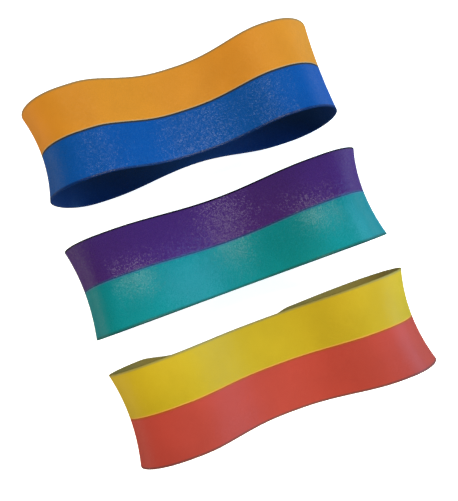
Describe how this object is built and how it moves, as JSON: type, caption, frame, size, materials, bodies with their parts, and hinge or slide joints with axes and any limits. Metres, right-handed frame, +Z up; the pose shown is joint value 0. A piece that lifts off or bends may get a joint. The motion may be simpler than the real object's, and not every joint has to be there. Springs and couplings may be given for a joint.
{
  "type": "resistance loop band set",
  "caption": "Wide two-tone elastomer loop bands lying in a row, each a closed loop with rounded ends and a narrow waist that stretches along its length.",
  "frame": {"origin": "middle of the row's footprint, on the surface that the bands lie on", "axes": "+X along the bands, to their right ends; +Y across the bands, from the yellow and red band to the orange and blue band; +Z up"},
  "size_m": [0.2744, 0.3238, 0.064],
  "materials": {
    "orange_elastomer": "fine matte grain with a soft sheen",
    "blue_elastomer": "fine matte grain with a soft sheen",
    "purple_elastomer": "fine matte grain with a soft sheen",
    "teal_elastomer": "fine matte grain with a soft sheen",
    "yellow_elastomer": "fine matte grain with a soft sheen",
    "red_elastomer": "fine matte grain with a soft sheen"
  },
  "bodies": {
    "purple_teal_left": {"purple_strip_left": "purple_elastomer", "teal_strip_left": "teal_elastomer"},
    "purple_teal_right": {"purple_strip_right": "purple_elastomer", "teal_strip_right": "teal_elastomer"},
    "orange_blue_left": {"orange_strip_left": "orange_elastomer", "blue_strip_left": "blue_elastomer"},
    "orange_blue_right": {"orange_strip_right": "orange_elastomer", "blue_strip_right": "blue_elastomer"},
    "yellow_red_left": {"yellow_strip_left": "yellow_elastomer", "red_strip_left": "red_elastomer"},
    "yellow_red_right": {"yellow_strip_right": "yellow_elastomer", "red_strip_right": "red_elastomer"}
  },
  "joints": [
    {"name": "purple_teal_stretch", "type": "slide", "parent": "purple_teal_left", "child": "purple_teal_right", "axis": [1, 0, 0], "range_m": [0, 0.3], "stiffness_N_per_m": 500},
    {"name": "orange_blue_lift", "type": "slide", "parent": "purple_teal_left", "child": "orange_blue_left", "axis": [0, 0, 1], "range_m": [0, 0.1]},
    {"name": "orange_blue_stretch", "type": "slide", "parent": "orange_blue_left", "child": "orange_blue_right", "axis": [0.9994, -0.0349, 0], "range_m": [0, 0.3], "stiffness_N_per_m": 400},
    {"name": "yellow_red_lift", "type": "slide", "parent": "purple_teal_left", "child": "yellow_red_left", "axis": [0, 0, 1], "range_m": [0, 0.1]},
    {"name": "yellow_red_stretch", "type": "slide", "parent": "yellow_red_left", "child": "yellow_red_right", "axis": [1, 0, 0], "range_m": [0, 0.3], "stiffness_N_per_m": 600}
  ]
}
